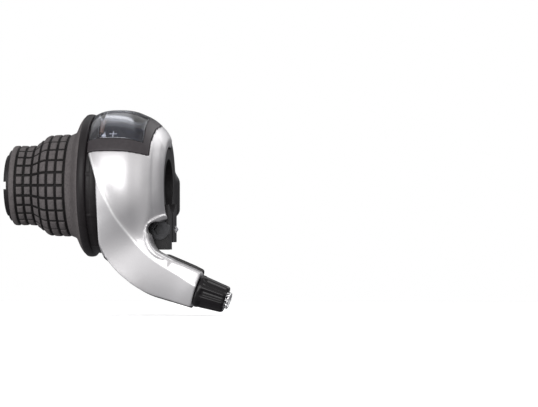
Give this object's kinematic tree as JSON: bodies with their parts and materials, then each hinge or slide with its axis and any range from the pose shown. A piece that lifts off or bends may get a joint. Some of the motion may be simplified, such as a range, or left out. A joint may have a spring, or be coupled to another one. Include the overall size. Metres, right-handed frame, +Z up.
{
  "type": "twist-grip gear shifter",
  "caption": "Left-hand bicycle twist-grip gear shifter: blocked rubber grip, silver housing with gear window, curved cable neck, threaded cable adjuster and handlebar clamp.",
  "frame": {"origin": "centre of the handlebar clamp's bore", "axes": "+X along the handlebar towards its middle (inboard), +Z up, -Y towards the front of the unit"},
  "size_m": [0.0978, 0.0634, 0.0848],
  "materials": {
    "black_nylon": "fine moulded grain, glass-filled nylon",
    "silver_cover": "metallic silver paint over moulded plastic",
    "dark_cover": "fine moulded grain",
    "bezel_grey": "satin dark grey moulded plastic",
    "clear_lens": "clear moulded window",
    "dial_print": "dark blue-grey printed dial",
    "needle_orange": "moulded in one colour",
    "grip_rubber": "moulded rubber with square blocks",
    "core_plastic": "smooth moulded plastic",
    "drum_plastic": "natural acetal",
    "steel": "zinc plated",
    "spring_steel": "hardened strip and wire",
    "black_steel": "black oxide",
    "brass": "turned",
    "liner": "slippery plastic liner",
    "knob_black": "glossy black moulded plastic",
    "bolt_metal": "bright turned"
  },
  "bodies": {
    "shifter_body": {"clamp_frame": "black_nylon", "clamp_bolt": "black_steel", "clamp_nut": "steel", "front_cover": "silver_cover", "back_cover": "dark_cover", "cover_screws": "black_steel", "indicator_bezel": "bezel_grey", "indicator_lens": "clear_lens", "indicator_dial": "dial_print", "detent_spring": "spring_steel", "spring_screw": "steel", "cable_guide": "liner", "thread_insert": "brass", "retaining_ring": "core_plastic", "thrust_washer": "steel", "friction_washer": "steel", "adjuster_spring": "spring_steel"},
    "twist_grip": {"grip_core": "core_plastic", "grip_sleeve": "grip_rubber", "cable_drum": "drum_plastic", "detent_ring": "steel"},
    "needle": {"indicator_needle": "needle_orange"},
    "knob": {"adjuster_knob": "knob_black"},
    "bolt": {"adjuster_bolt": "bolt_metal"}
  },
  "joints": [
    {"name": "grip_twist", "type": "hinge", "parent": "shifter_body", "child": "twist_grip", "pos_m": [-0.035, 0, 0], "axis": [-1, 0, 0], "range_deg": [0, 72], "deforming": ["detent_spring"]},
    {"name": "needle_slide", "type": "slide", "parent": "shifter_body", "child": "needle", "axis": [1, 0, 0], "range_m": [0, 0.0058]},
    {"name": "adjuster_turn", "type": "hinge", "parent": "shifter_body", "child": "knob", "pos_m": [0.01994, -0.016, -0.04383], "axis": [0.95, 0, -0.3123], "range_deg": [0, 1800]},
    {"name": "adjuster_travel", "type": "slide", "parent": "knob", "child": "bolt", "axis": [0.95, 0, -0.3123], "range_m": [0, 0.004], "deforming": ["adjuster_spring"]}
  ],
  "couplings": [
    {"joint": "needle_slide", "follows": "grip_twist", "m_per_rad": 0.004615},
    {"joint": "adjuster_turn", "follows": "adjuster_travel", "rad_per_m": 7854}
  ]
}
